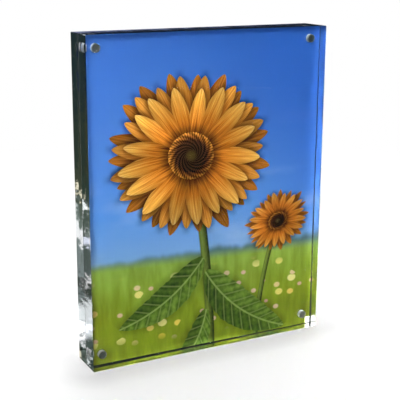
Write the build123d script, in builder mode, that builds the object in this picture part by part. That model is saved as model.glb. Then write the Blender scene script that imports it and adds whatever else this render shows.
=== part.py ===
# Acrylic block frame: two clear blocks that magnets hold together, with a print between them.
# Millimetres and degrees. +Z is up, the picture faces -Y, the origin is at the middle of the base.
import math
import os

from build123d import *

# Blocks, cut from thick sheet with polished edges, hardly broken where the two blocks meet
block_width = 203.2
block_height = 254.0
block_thickness = 15.0
outer_chamfer = 0.4
seam_chamfer = 0.1

# Print, trimmed a little smaller than the blocks. It leans clockwise by a small distance over its height.
print_side_margin = 0.5
print_top_margin = 0.5
print_bottom_margin = 0.9
print_lean = 0.88
print_thickness = 0.25
air_film = 0.05

# Magnets, short plated cylinders near the blocks' corners
magnet_diameter = 6.35
magnet_length = 4.75
magnet_chamfer = 0.3
magnet_inset = 10.0

# Pockets, blind and flat-bottomed, drilled from each block's inner face, with room for a film of glue
pocket_clearance = 0.05
pocket_recess = 0.1
pocket_lead_in = 0.25
glue_film = 0.05

# Places worked out from the sizes above
inner_face = print_thickness / 2 + air_film
mid_height = block_height / 2
print_width = block_width - 2 * print_side_margin
print_height = block_height - print_top_margin - print_bottom_margin
print_middle = print_bottom_margin + print_height / 2
print_tilt = math.degrees(math.atan2(print_lean, print_height))
magnet_x = block_width / 2 - magnet_inset
magnet_z = block_height / 2 - magnet_inset
pocket_radius = magnet_diameter / 2 + pocket_clearance
pocket_depth = pocket_recess + magnet_length + glue_film

# Each block's inner plane faces the other block, with its own Y axis upright
inner_planes = {
    "front": Plane(origin=(0, -inner_face, mid_height), x_dir=(-1, 0, 0), z_dir=(0, 1, 0)),
    "rear": Plane(origin=(0, inner_face, mid_height), x_dir=(1, 0, 0), z_dir=(0, -1, 0)),
}

# Magnet places as seen from the front, across and up from the middle
magnet_places = {
    "top_left": (-magnet_x, magnet_z),
    "top_right": (magnet_x, magnet_z),
    "bottom_left": (-magnet_x, -magnet_z),
    "bottom_right": (magnet_x, -magnet_z),
}

os.makedirs("parts", exist_ok=True)

# Front and rear blocks
for side, inner_plane in inner_planes.items():
    inward = Axis(inner_plane.origin, inner_plane.z_dir)
    with BuildPart(inner_plane) as block:
        with BuildSketch(inner_plane):
            Rectangle(block_width, block_height)
        extrude(amount=-block_thickness)
        outer_edges, corner_edges = block.edges().group_by(inward)[:2]
        chamfer(outer_edges + corner_edges, outer_chamfer)
        chamfer(block.edges().group_by(inward)[-1], seam_chamfer)
        with GridLocations(2 * magnet_x, 2 * magnet_z, 2, 2):
            Hole(pocket_radius, pocket_depth)
        pocketed_face = block.faces().sort_by(inward)[-1]
        chamfer(pocketed_face.inner_wires().edges(), pocket_lead_in)
    block.part.label = f"{side}_block"
    export_step(block.part, f"parts/{side}_block.step")

# Magnets, each with its outer end just below the block's inner face
for side, inner_plane in inner_planes.items():
    for corner, (across, up) in magnet_places.items():
        seat_origin = inner_plane.origin + Vector(across, 0, up) - inner_plane.z_dir * pocket_recess
        with BuildPart() as magnet:
            with BuildSketch(Plane(origin=seat_origin, z_dir=inner_plane.z_dir)):
                Circle(magnet_diameter / 2)
            extrude(amount=-magnet_length)
            chamfer(magnet.edges().filter_by(GeomType.CIRCLE), magnet_chamfer)
        magnet.part.label = f"{side}_magnet_{corner}"
        export_step(magnet.part, f"parts/{side}_magnet_{corner}.step")

# Print, between the blocks with a film of air on each side
with BuildPart() as photo_print:
    with BuildSketch(Plane(origin=(0, 0, print_middle), x_dir=(1, 0, 0), z_dir=(0, -1, 0))):
        Rectangle(print_width, print_height, rotation=-print_tilt)
    extrude(amount=print_thickness / 2, both=True)
photo_print.part.label = "photo_print"
export_step(photo_print.part, "parts/photo_print.step")
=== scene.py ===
import math
import bpy
from mathutils import Matrix, Vector


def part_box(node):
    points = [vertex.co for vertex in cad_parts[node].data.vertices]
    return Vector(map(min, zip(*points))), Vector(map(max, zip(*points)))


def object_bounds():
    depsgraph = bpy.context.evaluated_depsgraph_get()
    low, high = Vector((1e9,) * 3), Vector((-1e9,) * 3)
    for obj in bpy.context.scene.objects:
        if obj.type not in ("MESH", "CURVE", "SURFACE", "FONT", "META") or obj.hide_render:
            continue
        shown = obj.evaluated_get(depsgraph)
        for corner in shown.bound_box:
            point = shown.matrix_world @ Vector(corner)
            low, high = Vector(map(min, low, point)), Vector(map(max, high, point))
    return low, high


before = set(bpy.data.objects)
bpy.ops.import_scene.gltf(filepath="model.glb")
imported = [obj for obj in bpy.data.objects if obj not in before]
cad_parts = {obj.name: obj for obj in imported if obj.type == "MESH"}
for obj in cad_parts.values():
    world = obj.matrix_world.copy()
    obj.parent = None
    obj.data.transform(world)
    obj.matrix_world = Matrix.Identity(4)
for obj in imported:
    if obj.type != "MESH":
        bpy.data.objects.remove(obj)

cadLow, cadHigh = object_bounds()
scene = bpy.context.scene
scene.view_settings.view_transform = "Standard"
print("frame loaded:", len(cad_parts), "nodes")


# One socket of a shader, so that maths on surfaces reads as plain expressions
class Value:
    def __init__(self, maker, socket):
        self.maker = maker
        self.socket = socket

    def math(self, operation, *others):
        return self.maker.math(operation, self, *others)

    def __add__(self, other):
        return self.maker.math("ADD", self, other)

    def __radd__(self, other):
        return self.maker.math("ADD", other, self)

    def __sub__(self, other):
        return self.maker.math("SUBTRACT", self, other)

    def __rsub__(self, other):
        return self.maker.math("SUBTRACT", other, self)

    def __mul__(self, other):
        return self.maker.math("MULTIPLY", self, other)

    def __rmul__(self, other):
        return self.maker.math("MULTIPLY", other, self)

    def __truediv__(self, other):
        return self.maker.math("DIVIDE", self, other)

    def __rtruediv__(self, other):
        return self.maker.math("DIVIDE", other, self)

    def __pow__(self, other):
        return self.maker.math("POWER", self, other)

    def __rpow__(self, other):
        return self.maker.math("POWER", other, self)

    def __mod__(self, other):
        return self.maker.math("FLOORED_MODULO", self, other)

    def __rmod__(self, other):
        return self.maker.math("FLOORED_MODULO", other, self)

    def __neg__(self):
        return 0.0 - self

    def __abs__(self):
        return self.math("ABSOLUTE")

    def least(self, other):
        return self.math("MINIMUM", other)

    def most(self, other):
        return self.math("MAXIMUM", other)

    def floor(self):
        return self.math("FLOOR")

    def cosine(self):
        return self.math("COSINE")

    def over(self, limit):
        return self.math("GREATER_THAN", limit)

    def under(self, limit):
        return self.math("LESS_THAN", limit)

    # Between 0 and 1
    def share(self):
        return self.most(0.0).least(1.0)

    # A value from 0 to 1 spread over a span above its base
    def spread(self, span, base):
        return self * span + base

    # 0 below low, 1 above high, with a soft step between
    def step(self, low, high):
        settings = {"interpolation_type": "SMOOTHSTEP"}
        sockets = {"Value": self, "From Min": low, "From Max": high}
        return self.maker.node("ShaderNodeMapRange", settings, sockets)

    # 1 between full and fading, 0 before start and past end
    def band(self, start, full, fading, end):
        return self.step(start, full) * (1.0 - self.step(fading, end))


# How far a face may turn to the front or the back and still be an edge face, or a broken corner
faceLimits = {
    "edge": 0.5,
    "corner": 0.9,
}


# One node tree that is being written
class NodeMaker:
    def __init__(self, tree):
        self.tree = tree
        tree.nodes.clear()

    def node(self, kind, settings=None, sockets=None, out=0):
        made = self.tree.nodes.new(kind)
        for name, value in (settings or {}).items():
            if name == "stops":
                self.rampStops(made.color_ramp, value)
            else:
                setattr(made, name, value)
        pairs = sockets.items() if isinstance(sockets, dict) else enumerate(sockets or [])
        for name, value in pairs:
            if isinstance(value, Value):
                self.tree.links.new(value.socket, made.inputs[name])
            else:
                made.inputs[name].default_value = value
        return Value(self, made.outputs[out]) if made.outputs else made

    def rampStops(self, ramp, stops):
        while len(ramp.elements) < len(stops):
            ramp.elements.new(1.0)
        for element, (place, colour) in zip(ramp.elements, stops):
            element.position = place
            element.color = (*colour, 1.0)

    def math(self, operation, *terms):
        return self.node("ShaderNodeMath", {"operation": operation}, terms)

    # Places on the piece, in metres in the frame's own axes
    def spot(self):
        return self.node("ShaderNodeTexCoord", None, None, "Object")

    def axes(self):
        split = self.node("ShaderNodeSeparateXYZ", None, [self.spot()]).socket.node
        return [Value(self, output) for output in split.outputs]

    # How far the surface faces the front or the back
    def facing(self):
        outward = self.node("ShaderNodeTexCoord", None, None, "Normal")
        split = self.node("ShaderNodeSeparateXYZ", None, [outward]).socket.node
        return abs(Value(self, split.outputs["Y"]))

    def edgeFaces(self):
        return self.facing().under(faceLimits["edge"])

    def cornerFaces(self):
        facing = self.facing()
        return facing.over(faceLimits["edge"]) * facing.under(faceLimits["corner"])

    def place(self, x, y, z=0.0):
        return self.node("ShaderNodeCombineXYZ", None, [x, y, z])

    def noise(self, place, scale, detail):
        return self.node("ShaderNodeTexNoise", None, {"Vector": place, "Scale": scale, "Detail": detail})

    # Noise over a flat picture, with its own scales across and up
    def mottle(self, across, up, scales, seed, detail):
        return self.noise(self.place(across * scales[0], up * scales[1], seed), scale=1.0, detail=detail)

    # A number between 0 and 1 that belongs to a whole number
    def chance(self, number):
        return self.node("ShaderNodeTexWhiteNoise", {"noise_dimensions": "1D"}, {"W": number})

    def ramp(self, value, stops):
        return self.node("ShaderNodeValToRGB", {"stops": stops}, [value])

    # Colours go through Mix, one over another by a mask
    def blend(self, mask, under, over, way="MIX"):
        settings = {"data_type": "RGBA", "blend_type": way, "clamp_factor": True}
        made = self.node("ShaderNodeMix", settings, {"Factor": mask}).socket.node
        for index, value in ((6, under), (7, over)):  # the two colour inputs share their names with others
            if isinstance(value, Value):
                self.tree.links.new(value.socket, made.inputs[index])
            else:
                made.inputs[index].default_value = (*value, 1.0)
        return Value(self, made.outputs[2])

    def shade(self, colour, amount):
        return self.blend(1.0, colour, amount, "MULTIPLY")

    def bump(self, relief):
        return self.node("ShaderNodeBump", None, {"Strength": 1.0, "Distance": 1.0, "Height": relief})

    def principled(self, sockets):
        return self.node("ShaderNodeBsdfPrincipled", None, sockets)

    def mixed(self, mask, under, over):
        return self.node("ShaderNodeMixShader", None, [mask, under, over])

    def output(self, surface, kind="Material"):
        self.node("ShaderNodeOutput" + kind, None, {"Surface": surface})


def newMaterial(name):
    material = bpy.data.materials.new(name)
    material.use_nodes = True
    return material, NodeMaker(material.node_tree)


def dress(nodeName, material):
    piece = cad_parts[nodeName]
    piece.data.materials.clear()
    piece.data.materials.append(material)


magnetLow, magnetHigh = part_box("front_magnet_top_right")


# How far a place is from the nearest magnet's axis, because the magnets lie evenly about the middle
def fromMagnetAxis(across, up):
    middle = (cadLow[2] + cadHigh[2]) / 2
    outX = abs(across) - (magnetLow[0] + magnetHigh[0]) / 2
    outZ = abs(up - middle) - ((magnetLow[2] + magnetHigh[2]) / 2 - middle)
    return (outX * outX + outZ * outZ) ** 0.5


# Acrylic: clear cast sheet with polished edges, and pockets as the drill left them. Metres.
acrylicLook = {
    "ior": 1.49,
    "tint": (0.985, 0.995, 0.99),
    "waveSize": 0.016,
    "waveDepth": 0.0003,
    "waveStretch": 0.35,
    "strokeSize": 0.0032,
    "strokeDepth": 0.00003,
    "strokeSlant": 0.3,
    "strokeStretch": 0.12,
    "leftEdge": 3.0,  # relief of the left edge, and of the right and lower ones, as shares of the top's
    "flatEdge": 0.12,
    "sideMargin": 0.002,
    "baseMargin": 0.0005,
    "topMargin": 0.00025,
    "topDish": 0.7,
    "cornerSize": 0.0045,
    "cornerDepth": 0.0006,
    "drilledColour": (0.80, 0.82, 0.84),
    "dullRoughness": 0.6,
    "pocketWide": 1.15,  # reach of the drilled walls, as shares of the magnet's radius and depth
    "pocketDeep": 1.1,
    "wallShare": 0.6,
    "endShare": 0.012,
    "ringShare": 0.02,
    "ringSoft": (0.1, 0.9),
    "drillPitch": 0.0003,
    # Painted shade at the seam: the arrises where the blocks meet are near black and matt
    "seamReach": 0.0003,
    "seamShadeReach": (0.0003, 0.00045),
    "footReach": (0.0012, 0.0014),
    "seamShadeColour": (0.020, 0.030, 0.027),
    "seamShadeShare": 0.92,
}


def acrylicRelief(make, across, along, up, edge):
    # Buffing leaves slow waves along the edges, and the saw's strokes show faintly across them
    run = make.place(across, along * acrylicLook["waveStretch"], up)
    waves = make.noise(run, scale=1.0 / acrylicLook["waveSize"], detail=2.0)
    slant = along * acrylicLook["strokeSlant"]
    run = make.place(across + slant, along * acrylicLook["strokeStretch"], up + slant)
    strokes = make.noise(run, scale=1.0 / acrylicLook["strokeSize"], detail=3.0)
    relief = (waves * acrylicLook["waveDepth"] + strokes * acrylicLook["strokeDepth"]) * edge
    left = across.under(cadLow[0] + acrylicLook["sideMargin"])
    right = across.over(cadHigh[0] - acrylicLook["sideMargin"])
    base = up.under(cadLow[2] + acrylicLook["baseMargin"])
    relief = relief * left.spread(acrylicLook["leftEdge"] - 1.0, 1.0)
    relief = relief * right.most(base).spread(acrylicLook["flatEdge"] - 1.0, 1.0)
    # The broken corners were rubbed by hand
    rubs = make.noise(make.spot(), scale=1.0 / acrylicLook["cornerSize"], detail=2.0)
    relief = relief + rubs * acrylicLook["cornerDepth"] * make.cornerFaces()
    # The wheel has dished the top a little from front to back
    top = up.over(cadHigh[2] - acrylicLook["topMargin"])
    return relief + along * along * top * acrylicLook["topDish"]


def acrylicMaterial():
    material, make = newMaterial("clearAcrylic")
    across, along, up = make.axes()
    edge = make.edgeFaces()
    depth = abs(along)
    clear = make.principled({
        "Base Color": (*acrylicLook["tint"], 1.0),
        "Roughness": 0.0,
        "IOR": acrylicLook["ior"],
        "Transmission Weight": 1.0,
        "Normal": make.bump(acrylicRelief(make, across, along, up, edge)),
    })
    # The pockets' walls are dull and ringed from the drill, their ends nearly clear
    fromAxis = fromMagnetAxis(across, up)
    drilled = fromAxis.under((magnetHigh[0] - magnetLow[0]) / 2 * acrylicLook["pocketWide"])
    drilled = drilled * depth.over(-magnetHigh[1]) * depth.under(-magnetLow[1] * acrylicLook["pocketDeep"])
    rings = (((depth + fromAxis) / acrylicLook["drillPitch"]) % 1.0).step(*acrylicLook["ringSoft"])
    frost = make.principled({
        "Base Color": (*acrylicLook["drilledColour"], 1.0),
        "Roughness": acrylicLook["dullRoughness"],
    })
    share = edge * acrylicLook["wallShare"] + (1.0 - edge) * acrylicLook["endShare"]
    surface = make.mixed(drilled * (share + rings * acrylicLook["ringShare"]), clear, frost)
    # Painted shade: the arrises where the blocks meet, most of all the rear block's foot, are near black and
    # matt, standing in for the shade in the gap between the blocks
    fromBase = up - cadLow[2]
    fromRim = (cadHigh[0] - abs(across)).least(fromBase).least(cadHigh[2] - up)
    rim = 1.0 - fromRim.step(*acrylicLook["seamShadeReach"])
    foot = along.over(0.0) * (1.0 - fromBase.step(*acrylicLook["footReach"]))
    seamShade = depth.under(acrylicLook["seamReach"]) * rim.most(foot)
    dull = make.principled({
        "Base Color": (*acrylicLook["seamShadeColour"], 1.0),
        "Roughness": acrylicLook["dullRoughness"],
        "Specular IOR Level": 0.0,
    })
    make.output(make.mixed(seamShade * acrylicLook["seamShadeShare"], surface, dull))
    return material


# Magnets: bright nickel plating over a turned end
nickelLook = {
    "colour": (0.78, 0.76, 0.72),
    # painted shade on the broken rims
    "rimShade": (0.20, 0.20, 0.19),
    "roughness": 0.42,
    "roughSpread": 0.2,
    "blotchScale": 1400.0,
    "markPitch": 0.00035,
    "markDepth": 0.000012,
}


def nickelMaterial():
    material, make = newMaterial("nickelPlating")
    across, up = make.axes()[::2]
    blotch = make.noise(make.spot(), scale=nickelLook["blotchScale"], detail=3.0)
    marks = (fromMagnetAxis(across, up) * (2 * math.pi / nickelLook["markPitch"])).math("SINE")
    spread = nickelLook["roughSpread"]
    # The broken rims are painted darker, painted shade that keeps them from shining as a bright ring
    surface = make.principled({
        "Base Color": make.blend(make.cornerFaces(), nickelLook["colour"], nickelLook["rimShade"]),
        "Metallic": 1.0,
        "Roughness": blotch.spread(spread, nickelLook["roughness"] - spread / 2),
        "Normal": make.bump((marks + blotch) * nickelLook["markDepth"]),
    })
    make.output(surface)
    return material


# Print: a garden picture in millimetres from the middle of the lower edge, plain paper behind
groundLook = {
    "horizon": 78.0,
    "horizonSlope": 0.03,
    "horizonSoft": (-7.0, 3.0),
    "skyTall": 176.0,
    "sky": [(0.0, (0.150, 0.300, 0.560)), (0.22, (0.085, 0.250, 0.620)), (0.6, (0.062, 0.195, 0.600)),
            (1.0, (0.048, 0.165, 0.560))],
    "skyCorner": (0.024, 0.105, 0.430),
    "cornerSlope": 0.9,
    "cornerReach": (20.0, 250.0),
    "cloud": (0.42, 0.52, 0.70),
    "cloudScales": (0.012, 0.035),
    "cloudSoft": (0.48, 0.78),
    "cloudFade": (20.0, 120.0),
    "cloudShare": 0.35,
    "trees": (0.045, 0.085, 0.040),
    "treeScale": 0.05,
    "treeTall": 16.0,
    "treeDrop": 6.0,
    "treeSoft": (-3.0, 4.0),
    "treeShare": 0.75,
    "meadow": [(0.0, (0.150, 0.190, 0.012)), (0.45, (0.180, 0.235, 0.014)), (1.0, (0.205, 0.310, 0.045))],
    "grassScales": (0.16, 0.035),
    "grassTone": 0.55,
    "grassShade": (0.7, 0.65),
    "blossoms": [(0.0, (0.62, 0.24, 0.28)), (0.35, (0.70, 0.42, 0.40)), (0.6, (0.75, 0.50, 0.06)),
                 (1.0, (0.80, 0.72, 0.40))],
    "blossomScales": (0.085, 0.11),
    "blossomSpread": 0.22,
    "blossomSoft": (0.08, 0.20),
    "blossomPick": 0.52,
    "blossomReach": (8.0, 22.0),
    "blossomShare": 0.7,
}


def groundPicture(make, across, up):
    horizon = groundLook["horizon"]
    overHorizon = up - horizon
    sky = make.ramp(overHorizon / groundLook["skyTall"], groundLook["sky"])
    corner = (across + overHorizon * groundLook["cornerSlope"]).step(*groundLook["cornerReach"])
    sky = make.blend(corner, sky, groundLook["skyCorner"])
    wisps = make.mottle(across, up, groundLook["cloudScales"], seed=4.0, detail=4.0)
    wisps = wisps.step(*groundLook["cloudSoft"]) * (1.0 - overHorizon.step(*groundLook["cloudFade"]))
    sky = make.blend(wisps * groundLook["cloudShare"], sky, groundLook["cloud"])
    # Far trees, out of focus
    crowns = make.noise(make.place(across * groundLook["treeScale"], 0.0, 9.0), scale=1.0, detail=3.0)
    crowns = crowns.spread(groundLook["treeTall"], horizon - groundLook["treeDrop"])
    trees = 1.0 - (up - crowns).step(*groundLook["treeSoft"])
    picture = make.blend(trees * groundLook["treeShare"], sky, groundLook["trees"])
    # Meadow with soft upright strokes, paler towards the horizon
    grass = make.mottle(across, up, groundLook["grassScales"], seed=2.0, detail=3.0)
    meadow = make.ramp(up / horizon + (grass - 0.5) * groundLook["grassTone"], groundLook["meadow"])
    meadow = make.shade(meadow, grass.spread(*groundLook["grassShade"]))
    above = (overHorizon + across * groundLook["horizonSlope"]).step(*groundLook["horizonSoft"])
    picture = make.blend(above, meadow, picture)
    # Blossoms far out of focus, none close to the lower edge or the horizon
    scaleX, scaleZ = groundLook["blossomScales"]
    cells = make.node("ShaderNodeTexVoronoi", {"voronoi_dimensions": "2D"},
                      {"Vector": make.place(across * scaleX, up * scaleZ), "Scale": 1.0})
    kinds = Value(make, cells.socket.node.outputs["Color"])
    kind = make.node("ShaderNodeSeparateColor", None, [kinds]).socket.node
    pick = Value(make, kind.outputs[0])
    size = Value(make, kind.outputs[1])
    disc = 1.0 - (cells - size * groundLook["blossomSpread"]).step(*groundLook["blossomSoft"])
    near, far = groundLook["blossomReach"]
    shown = disc * pick.over(groundLook["blossomPick"]) * up.band(near, far, horizon - far, horizon - near)
    return make.blend(shown * groundLook["blossomShare"], picture, make.ramp(size, groundLook["blossoms"]))


# Stem: a bent rod, lit from the left
stemLook = {
    "dark": (0.020, 0.034, 0.006),
    "light": (0.200, 0.270, 0.040),
    "soft": (0.85, 1.1),
    "hairScales": (0.9, 0.25),
    "hairShare": 0.5,
    "lightMost": 0.75,
    "lightOff": 0.35,
    "lightFall": 0.62,
}


def stemOver(make, across, up, picture, bloom):
    footX, footZ = bloom["stemFoot"]
    topX, topZ = bloom["middle"]
    rise = ((up - footZ) / (topZ - footZ)).most(0.0)
    middle = rise * rise * (topX - footX) + footX
    off = (across - middle) / (bloom["stemWide"] / 2)
    body = (1.0 - abs(off).step(*stemLook["soft"])) * rise.under(1.0)
    hairs = make.mottle(across, up, stemLook["hairScales"], seed=1.0, detail=3.0) - 0.5
    light = stemLook["lightMost"] - abs(off + stemLook["lightOff"]) * stemLook["lightFall"]
    light = (light + hairs * stemLook["hairShare"]).share()
    return make.blend(body, picture, make.blend(light, stemLook["dark"], stemLook["light"]))


# Leaves: pointed, with a pale midrib and side ribs
leafLook = {
    "tones": [(0.0, (0.012, 0.026, 0.006)), (0.5, (0.055, 0.105, 0.012)), (1.0, (0.170, 0.260, 0.035))],
    "rib": (0.260, 0.340, 0.090),
    "ribShare": 0.6,
    "sideShare": 0.55,
    "sideSlant": 0.0917,
    "sideSoft": (0.03, 0.13),
    "midSoft": (0.35, 1.1),
    "shadow": 0.3,
    "shadowReach": (-7.0, 0.5),
    "edgeSoft": (0.0, 0.8),
    "rootGap": 0.01,
    "rootPower": 0.6,
    "tipPower": 0.75,
    "scallops": 14.0,
    "scallopSpread": (0.24, 0.88),
    "sideLight": 0.35,
    "sideReach": 0.2,
    "puffLight": 0.66,
    "mottleScales": (0.22, 0.22),
    "mottleLight": 0.9,
    "leastLight": 0.12,
}
leafPlaces = [
    {"root": (-3.0, 74.0), "turn": 213.0, "length": 88.0, "wide": 33.0, "bend": 8.0, "ribs": 8.0},
    {"root": (-1.0, 62.0), "turn": -38.0, "length": 96.0, "wide": 40.0, "bend": -9.0, "ribs": 9.0},
    {"root": (0.0, 30.0), "turn": 238.0, "length": 60.0, "wide": 26.0, "bend": 6.0, "ribs": 7.0},
]


def leafOver(make, across, up, picture, leaf):
    cosine = math.cos(math.radians(leaf["turn"]))
    sine = math.sin(math.radians(leaf["turn"]))
    fromRoot = across - leaf["root"][0]
    overRoot = up - leaf["root"][1]
    run = (fromRoot * cosine + overRoot * sine) / leaf["length"]
    reach = run.share()
    bow = reach * (1.0 - reach) * (4.0 * leaf["bend"])  # as high as the bend half way along
    off = overRoot * cosine - fromRoot * sine - bow
    fromRib = abs(off)
    scallop = make.noise(make.place(run * leafLook["scallops"], leaf["turn"]), scale=1.0, detail=1.0)
    width = (reach + leafLook["rootGap"]) ** leafLook["rootPower"] * (1.0 - reach) ** leafLook["tipPower"]
    width = width * leaf["wide"] * scallop.spread(*leafLook["scallopSpread"])
    depth = width - fromRib
    inside = run.over(0.0) * run.under(1.0)
    shadow = depth.step(*leafLook["shadowReach"]) * inside
    picture = make.shade(picture, 1.0 - shadow * leafLook["shadow"])
    fromSideRib = abs((run * leaf["ribs"] - fromRib * leafLook["sideSlant"]) % 1.0 - 0.5)
    sideRibs = (1.0 - fromSideRib.step(*leafLook["sideSoft"])) * leafLook["sideShare"]
    midRib = 1.0 - fromRib.step(*leafLook["midSoft"])
    mottle = make.mottle(across, up, leafLook["mottleScales"], seed=6.0, detail=4.0) - 0.5
    half = leaf["wide"] * leafLook["sideReach"]
    light = off.step(-half, half) * leafLook["sideLight"] + fromSideRib * leafLook["puffLight"]
    light = light + mottle * leafLook["mottleLight"] + leafLook["leastLight"]
    tone = make.ramp(light, leafLook["tones"])
    tone = make.blend(sideRibs.most(midRib) * leafLook["ribShare"], tone, leafLook["rib"])
    return make.blend(depth.step(*leafLook["edgeSoft"]) * inside, picture, tone)


# Blooms: rings of petals about a dark head of seeds, lit from the upper left
petalLook = {
    "back": [(0.0, (0.075, 0.016, 0.003)), (0.5, (0.250, 0.070, 0.007)), (1.0, (0.400, 0.150, 0.016))],
    "middle": [(0.0, (0.120, 0.024, 0.003)), (0.45, (0.400, 0.125, 0.010)), (1.0, (0.560, 0.260, 0.035))],
    "front": [(0.0, (0.150, 0.030, 0.003)), (0.35, (0.480, 0.160, 0.012)), (0.8, (0.640, 0.330, 0.050)),
              (1.0, (0.720, 0.450, 0.120))],
    "otherSeed": 40.5,
    "sway": 0.3,
    "rootGap": 0.06,
    "rootPower": 0.55,
    "tipPower": 0.62,
    "wideSpread": (0.25, 0.9),
    "shadowReach": (-6.0, 0.5),
    "shadowPast": (0.95, 1.15),
    "streakScales": (1.1, 2.2),
    "streakSeed": 3.7,
    "streakTone": 0.8,
    "runTone": 0.9,
    "leastWide": 0.05,
    "bulgeLight": 1.12,
    "bulgeFall": 0.45,
    "streakLight": (0.8, 0.6),
    "petalLight": (0.45, 0.78),
    "sideLight": 0.16,
    "foldReach": 0.9,
    "foldLight": (0.22, 0.78),
}
headLook = {
    "tones": [(0.0, (0.085, 0.060, 0.012)), (0.30, (0.030, 0.012, 0.004)), (0.68, (0.042, 0.014, 0.005)),
              (0.84, (0.190, 0.060, 0.008)), (1.0, (0.420, 0.170, 0.020))],
    "ruffleScales": (0.7, 0.7),
    "ruffle": 0.13,
    "shadowStart": 1.0,
    "shadowReach": 1.45,
    "shadowShare": 0.6,
    "spirals": (21.0, 34.0),
    "twists": (9.0, 14.4),
    "seedSoft": (-0.5, 0.8),
    "seedLight": (1.5, 0.35),
    "domeLight": 0.5,
}
lightAngle = 2.3  # in radians, as the petals' angles are
bloomPlaces = [
    {"middle": (66.0, 96.0), "lean": 20.0, "squash": 0.80, "head": 9.5, "soft": 1.6, "seed": 300,
     "stemFoot": (46.0, -20.0), "stemWide": 4.6, "inner": 6.0, "spread": 4.0, "rings": [
         {"tone": "back", "count": 17, "shadow": 0.0, "offset": 0.2, "length": 30.0, "wide": 9.0},
         {"tone": "middle", "count": 17, "shadow": 0.45, "offset": 0.7, "length": 27.0, "wide": 9.0},
     ]},
    {"middle": (-14.0, 158.0), "lean": -12.0, "squash": 0.93, "head": 20.0, "soft": 0.5, "seed": 20,
     "stemFoot": (4.0, -20.0), "stemWide": 8.0, "inner": 14.0, "spread": 9.0, "rings": [
         {"tone": "back", "count": 19, "shadow": 0.0, "offset": 0.35, "length": 66.0, "wide": 17.0},
         {"tone": "middle", "count": 19, "shadow": 0.5, "offset": 0.85, "length": 62.0, "wide": 16.5},
         {"tone": "front", "count": 17, "shadow": 0.6, "offset": 0.1, "length": 55.0, "wide": 15.5},
     ]},
]


def petalsOver(make, radius, angle, picture, bloom, ring):
    count = ring["count"]
    turn = angle * (count / (2 * math.pi)) + ring["offset"]
    whole = turn.floor()
    number = whole % count + bloom["seed"]
    chance = make.chance(number + ring["length"])
    other = make.chance(number + ring["length"] + petalLook["otherSeed"])
    length = chance.spread(bloom["spread"], ring["length"])
    run = (radius - bloom["inner"]) / (length - bloom["inner"])
    reach = run.share()
    side = turn - whole - 0.5 + (other - 0.5) * reach * petalLook["sway"]
    off = side * radius * (2 * math.pi / count)
    width = (reach + petalLook["rootGap"]) ** petalLook["rootPower"] * (1.0 - reach) ** petalLook["tipPower"]
    width = width * chance.spread(*petalLook["wideSpread"]) * ring["wide"]
    depth = width - abs(off)
    inside = run.over(0.0) * run.under(1.0)
    shadow = depth.step(*petalLook["shadowReach"]) * (1.0 - run.step(*petalLook["shadowPast"]))
    picture = make.shade(picture, 1.0 - shadow * run.over(0.0) * ring["shadow"])
    seed = number * petalLook["streakSeed"]
    streaks = make.mottle(off, reach, petalLook["streakScales"], seed, detail=3.0)
    tone = reach * petalLook["runTone"] + (streaks - 0.5) * petalLook["streakTone"]
    tone = make.ramp(tone, petalLook[ring["tone"]])
    bulge = off / (width + petalLook["leastWide"])
    light = petalLook["bulgeLight"] - bulge * bulge * petalLook["bulgeFall"]
    light = light * streaks.spread(*petalLook["streakLight"]) * other.spread(*petalLook["petalLight"])
    light = light * (angle - lightAngle).cosine().spread(petalLook["sideLight"], 1.0)
    light = light * abs(off).step(0.0, petalLook["foldReach"]).spread(*petalLook["foldLight"])
    tone = make.shade(tone, light)
    return make.blend(depth.step(0.0, bloom["soft"]) * inside, picture, tone)


def bloomOver(make, across, up, picture, bloom):
    cosine = math.cos(math.radians(bloom["lean"]))
    sine = math.sin(math.radians(bloom["lean"]))
    fromMiddle = across - bloom["middle"][0]
    overMiddle = up - bloom["middle"][1]
    sideways = fromMiddle * cosine + overMiddle * sine
    upwards = (overMiddle * cosine - fromMiddle * sine) / bloom["squash"]
    radius = (sideways * sideways + upwards * upwards) ** 0.5
    angle = upwards.math("ARCTAN2", sideways)
    for ring in bloom["rings"]:
        picture = petalsOver(make, radius, angle, picture, bloom, ring)
    # The head: seeds on two sets of spirals, and a rim of small florets
    head = bloom["head"]
    ruffle = make.mottle(sideways, upwards, headLook["ruffleScales"], seed=3.0, detail=2.0) - 0.5
    depth = radius + ruffle * (headLook["ruffle"] * head)
    shadow = 1.0 - depth.step(head - headLook["shadowStart"], head * headLook["shadowReach"])
    picture = make.shade(picture, 1.0 - shadow * headLook["shadowShare"])
    curl = (radius + 1.0).math("LOGARITHM", math.e)
    right = angle * headLook["spirals"][0] + curl * headLook["twists"][0]
    left = angle * headLook["spirals"][1] - curl * headLook["twists"][1]
    seeds = right.cosine() * left.cosine()
    tone = make.ramp(depth / head, headLook["tones"])
    tone = make.shade(tone, seeds.step(*headLook["seedSoft"]).spread(*headLook["seedLight"]))
    dome = (angle - lightAngle).cosine() * (radius / head)
    tone = make.shade(tone, dome.spread(headLook["domeLight"], 1.0))
    return make.blend(1.0 - depth.step(head - bloom["soft"], head), picture, tone)


perMetre = 1000.0
printLook = {
    "paper": (0.80, 0.80, 0.77),
    "paperSpread": (0.06, 0.96),
    # painted shade on the cut edges
    "shadedCutEdge": (0.14, 0.14, 0.13),
    # painted light in one lower corner
    "litCorner": (5.2, 5.4),
    "grain": 0.05,
    "grainScales": (3.0, 3.0),
    "roughness": 0.24,
    "roughSpread": 0.08,
    "gloss": 0.25,
    "frontShare": 0.8,
}


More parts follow.
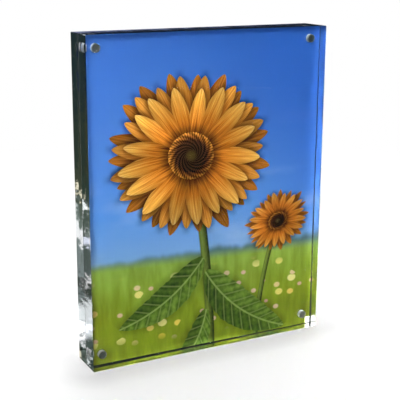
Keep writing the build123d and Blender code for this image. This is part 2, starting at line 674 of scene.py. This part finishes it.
def printMaterial():
    material, make = newMaterial("printPicture")
    across, along, up = make.axes()
    across = across * perMetre
    up = up * perMetre
    small, large = bloomPlaces
    picture = groundPicture(make, across, up)
    picture = stemOver(make, across, up, picture, small)
    picture = bloomOver(make, across, up, picture, small)
    picture = stemOver(make, across, up, picture, large)
    for leaf in leafPlaces:
        picture = leafOver(make, across, up, picture, leaf)
    picture = bloomOver(make, across, up, picture, large)
    grain = make.mottle(across, up, printLook["grainScales"], seed=0.0, detail=2.0)
    picture = make.shade(picture, grain.spread(printLook["grain"], 1.0 - printLook["grain"] / 2))
    paper = make.shade(printLook["paper"], grain.spread(*printLook["paperSpread"]))
    # One lower corner is paper white, a painted pool of light where the light mirrored by the right and
    # lower edges overlaps
    low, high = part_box("photo_print")
    litWide, litTall = printLook["litCorner"]
    litCornerMask = across.over(high[0] * perMetre - litWide) * up.under(low[2] * perMetre + litTall)
    picture = make.blend(litCornerMask, picture, paper)
    # The picture is on the front face only
    # The cut edges are dark grey, painted shade that darkens the narrow gap round the print
    paper = make.blend(make.edgeFaces(), paper, printLook["shadedCutEdge"])
    front = along.under(low[1] * printLook["frontShare"])
    spread = printLook["roughSpread"]
    surface = make.principled({
        "Base Color": make.blend(front, paper, picture),
        "Roughness": grain.spread(spread, printLook["roughness"] - spread / 2),
        "Specular IOR Level": printLook["gloss"],
    })
    make.output(surface)
    return material


acrylic = acrylicMaterial()
nickel = nickelMaterial()
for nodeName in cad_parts:
    if "block" in nodeName:
        dress(nodeName, acrylic)
    elif "magnet" in nodeName:
        dress(nodeName, nickel)
dress("photo_print", printMaterial())
print("acrylic, nickel and print on", len(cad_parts), "nodes")


# 1 for a ray that shows the background to the eye, also through or in the object
def seenRay(make):
    path = make.node("ShaderNodeLightPath").socket.node
    names = ("Is Camera Ray", "Is Glossy Ray", "Is Transmission Ray", "Diffuse Depth")
    camera, glossy, clear, depth = (Value(make, path.outputs[name]) for name in names)
    return camera.most(glossy).most(clear) * depth.under(1.0)


# 1 for such a ray once a surface has mirrored it, so that looking straight through the blocks stays clear
def mirroredRay(make):
    path = make.node("ShaderNodeLightPath").socket.node
    return seenRay(make) * Value(make, path.outputs["Glossy Depth"]).over(0.0)


# Floor: a pale sheet to stand on, which fades into the background
floorSet = {
    "size": 3.0,
    "drop": 0.0003,
    "colour": (0.42, 0.42, 0.42),
    "glow": 0.62,
    "contactReach": (0.0, 0.04),
    "contactShare": 0.35,
    "fadeReach": (0.45, 0.85),
}


def buildFloor():
    bpy.ops.object.select_all(action="DESELECT")
    bpy.ops.mesh.primitive_plane_add(size=floorSet["size"], location=(0, 0, -floorSet["drop"]))
    floor = bpy.context.object
    floor.name = "floorSheet"
    material, make = newMaterial("floorPaper")
    across, along = make.axes()[:2]
    outX = (abs(across) - cadHigh[0]).most(0.0)
    outY = (abs(along) - cadHigh[1]).most(0.0)
    # The glow is weaker close to the object, where its shadow lies
    contact = ((outX * outX + outY * outY) ** 0.5).step(*floorSet["contactReach"])
    contact = contact.spread(floorSet["contactShare"], 1.0 - floorSet["contactShare"])
    glow = seenRay(make) * contact * floorSet["glow"]
    paper = make.node("ShaderNodeBsdfDiffuse", None, {"Color": (*floorSet["colour"], 1.0)})
    colour = make.blend(glow, (0.0, 0.0, 0.0), (1.0, 1.0, 1.0))
    lift = make.node("ShaderNodeEmission", None, {"Color": colour})
    sheet = make.node("ShaderNodeAddShader", None, [paper, lift])
    fade = ((across * across + along * along) ** 0.5).step(*floorSet["fadeReach"])
    make.output(make.mixed(fade, sheet, make.node("ShaderNodeBsdfTransparent")))
    floor.data.materials.append(material)


# A glow that only mirrored rays meet
def mirroredGlow(make, colour, strength):
    glow = make.node("ShaderNodeEmission", None, {"Color": colour, "Strength": strength})
    make.output(make.mixed(mirroredRay(make), make.node("ShaderNodeBsdfTransparent"), glow))


# What stands round the object lights and shades nothing, and the camera doesn't see it
def setFlag(flag, name, material):
    flag.name = name
    flag.data.materials.append(material)
    flag.visible_camera = False
    flag.visible_diffuse = False
    flag.visible_shadow = False


# Flags: dark glowing surfaces on the ground and all round, painted reflections that only mirrored rays meet,
# with a bright patch behind on the left, a painted sheen on that side
flagSet = {
    "radius": 1.5,
    "height": 5.0,
    "lift": 0.0001,
    "sides": 48,
    "frontColour": (0.019, 0.033, 0.027),
    "rearColour": (0.040, 0.048, 0.030),
    "turnReach": (-0.1, 0.1),
    "farColour": (0.005, 0.012, 0.036),
    "farReach": (0.9, 1.3),
    "highColour": (0.30, 0.36, 0.62),
    "highReach": (0.375, 0.445, 0.47, 0.52),
    "patchColour": (3.3, 3.4, 3.5),
    "patchOut": (0.0, 0.03, 0.055, 0.07),
    "patchBack": (0.04, 0.06, 0.115, 0.14),
}


def buildFlags():
    material, make = newMaterial("paintedReflectionFlags")
    across, along, up = make.axes()
    colour = make.blend(along.step(*flagSet["turnReach"]), flagSet["frontColour"], flagSet["rearColour"])
    # A bright patch behind on the left, a painted sheen on the left side
    patch = (-across - cadHigh[0]).band(*flagSet["patchOut"]) * along.band(*flagSet["patchBack"])
    colour = make.blend(patch, colour, flagSet["patchColour"])
    far = along.step(*flagSet["farReach"])
    colour = make.blend(far, colour, flagSet["farColour"])
    # A lavender band high on the far wall, a painted reflection for the top faces
    colour = make.blend(up.band(*flagSet["highReach"]) * far, colour, flagSet["highColour"])
    mirroredGlow(make, colour, 1.0)
    bpy.ops.object.select_all(action="DESELECT")
    bpy.ops.mesh.primitive_circle_add(vertices=flagSet["sides"], radius=flagSet["radius"], fill_type="NGON",
                                      location=(0, 0, flagSet["lift"] - floorSet["drop"]))
    setFlag(bpy.context.object, "groundFlag", material)
    bpy.ops.object.select_all(action="DESELECT")
    bpy.ops.mesh.primitive_cylinder_add(vertices=flagSet["sides"], radius=flagSet["radius"],
                                        depth=flagSet["height"], end_fill_type="NOTHING",
                                        location=(0, 0, flagSet["height"] / 2))
    wall = bpy.context.object
    bpy.ops.object.transform_apply(location=True, rotation=False, scale=False)
    setFlag(wall, "wallFlag", material)


# Cards: glowing cards beside the right edge, painted reflections with lit bands, which the left side shows
# through the length of the blocks
cardSet = {
    "fromMiddle": (0.1027, 0.0175),
    "size": (0.0125, 0.11),
    "split": 0.0054,
    "splitSoft": 0.0005,
    "glow": 1.3,
    "crinkleScales": (260.0, 120.0),
    "crinkle": 0.14,
    "rear": {
        "tones": [(0.0, (0.22, 0.26, 0.27)), (0.60, (0.14, 0.18, 0.16)), (0.75, (0.04, 0.048, 0.03))],
        "lit": [((0.30, 0.34, 0.52, 0.56), (0.96, 0.97, 1.0)),
                ((0.74, 0.77, 0.83, 0.86), (0.88, 0.82, 0.63))],
    },
    "front": {
        "tones": [(0.0, (0.08, 0.10, 0.10)), (0.60, (0.06, 0.085, 0.07)), (0.80, (0.02, 0.035, 0.028))],
        "lit": [((-0.2, -0.1, 0.05, 0.10), (0.80, 0.78, 0.80)),
                ((0.33, 0.36, 0.44, 0.47), (0.80, 0.84, 1.0)),
                ((0.67, 0.69, 0.71, 0.73), (0.80, 0.85, 0.85))],
    },
}


# One half of a card: plain tones with lit bands at heights from 0 to 1
def cardTone(make, height, half):
    tone = make.ramp(height, half["tones"])
    for reach, lit in half["lit"]:
        tone = make.blend(height.band(*reach), tone, lit)
    return tone


def buildCard(name, side, nearHalf, farHalf):
    wide, tall = cardSet["size"]
    outX, outY = cardSet["fromMiddle"]
    material, make = newMaterial(name)
    across, up = make.axes()[::2]
    crinkle = make.mottle(across, up, cardSet["crinkleScales"], seed=0.0, detail=3.0) - 0.5
    height = up / tall + crinkle * cardSet["crinkle"]
    near = cardTone(make, height, cardSet[nearHalf])
    far = cardTone(make, height, cardSet[farHalf])
    split = cardSet["split"]
    past = (across - outX).step(split - cardSet["splitSoft"], split + cardSet["splitSoft"])
    mirroredGlow(make, make.blend(past, near, far), cardSet["glow"])
    bpy.ops.object.select_all(action="DESELECT")
    bpy.ops.mesh.primitive_plane_add(size=1.0, rotation=(math.radians(90), 0, 0),
                                     location=(outX + wide / 2, outY * side, tall / 2))
    card = bpy.context.object
    card.scale = (wide, tall, 1.0)
    bpy.ops.object.transform_apply(location=True, rotation=True, scale=True)
    setFlag(card, name, material)


# Light: a soft sky with a key light, a broad front light and a fill from behind. Spreads are in degrees.
lightSet = {
    "ambient": 0.22,
    "lamps": [
        {"toward": (-0.51, -0.78, 0.36), "spread": (6.0, 5.0), "strength": 115.0},
        {"toward": (-0.20, -0.97, 0.14), "spread": (26.0, 18.0), "strength": 1.6},
        {"toward": (0.50, 0.70, 0.55), "spread": (45.0, 20.0), "strength": 2.8},
    ],
}


def buildWorld():
    world = bpy.data.worlds.new("studio")
    world.use_nodes = True
    scene.world = world
    make = NodeMaker(world.node_tree)
    seen = seenRay(make)
    outward = make.node("ShaderNodeTexCoord", None, None, "Generated")
    light = lightSet["ambient"]
    for lamp in lightSet["lamps"]:
        toward = Vector(lamp["toward"]).normalized()
        facing = make.node("ShaderNodeVectorMath", {"operation": "DOT_PRODUCT"}, [outward, toward], "Value")
        reach = [math.cos(math.radians(angle)) for angle in lamp["spread"]]
        light = facing.step(*reach) * lamp["strength"] + light
    strength = seen + (1.0 - seen) * light
    sky = make.node("ShaderNodeBackground", None, {"Color": (1.0, 1.0, 1.0, 1.0), "Strength": strength})
    make.output(sky, "World")


# Camera: the photograph's view, front left and a little above
cameraSet = {
    "place": (-0.3429, -0.6391, 0.3121),
    "yaw": 28.0,
    "pitch": 14.12,
    "roll": 0.30,
    "lens": 85.4,
    "sensor": 36.0,
    "shiftY": -0.03,
}


def buildCamera():
    data = bpy.data.cameras.new("photoCamera")
    data.lens = cameraSet["lens"]
    data.sensor_width = cameraSet["sensor"]
    data.shift_y = cameraSet["shiftY"]
    camera = bpy.data.objects.new("photoCamera", data)
    scene.collection.objects.link(camera)
    turn = Matrix.Rotation(math.radians(-cameraSet["yaw"]), 4, "Z")
    tip = Matrix.Rotation(math.radians(90 - cameraSet["pitch"]), 4, "X")
    roll = Matrix.Rotation(math.radians(cameraSet["roll"]), 4, "Z")
    camera.matrix_world = Matrix.Translation(cameraSet["place"]) @ turn @ tip @ roll
    scene.camera = camera


buildFloor()
buildFlags()
buildCard("frontCard", -1, "front", "rear")
buildCard("rearCard", 1, "rear", "front")
print("floor, flags and cards set")

buildWorld()
buildCamera()
# Light goes to and fro in the blocks many times
scene.cycles.max_bounces = 32
scene.cycles.glossy_bounces = 24
scene.cycles.transmission_bounces = 24
scene.cycles.blur_glossy = 0.0
scene.cycles.sample_clamp_indirect = 0.0
print("light and camera set")
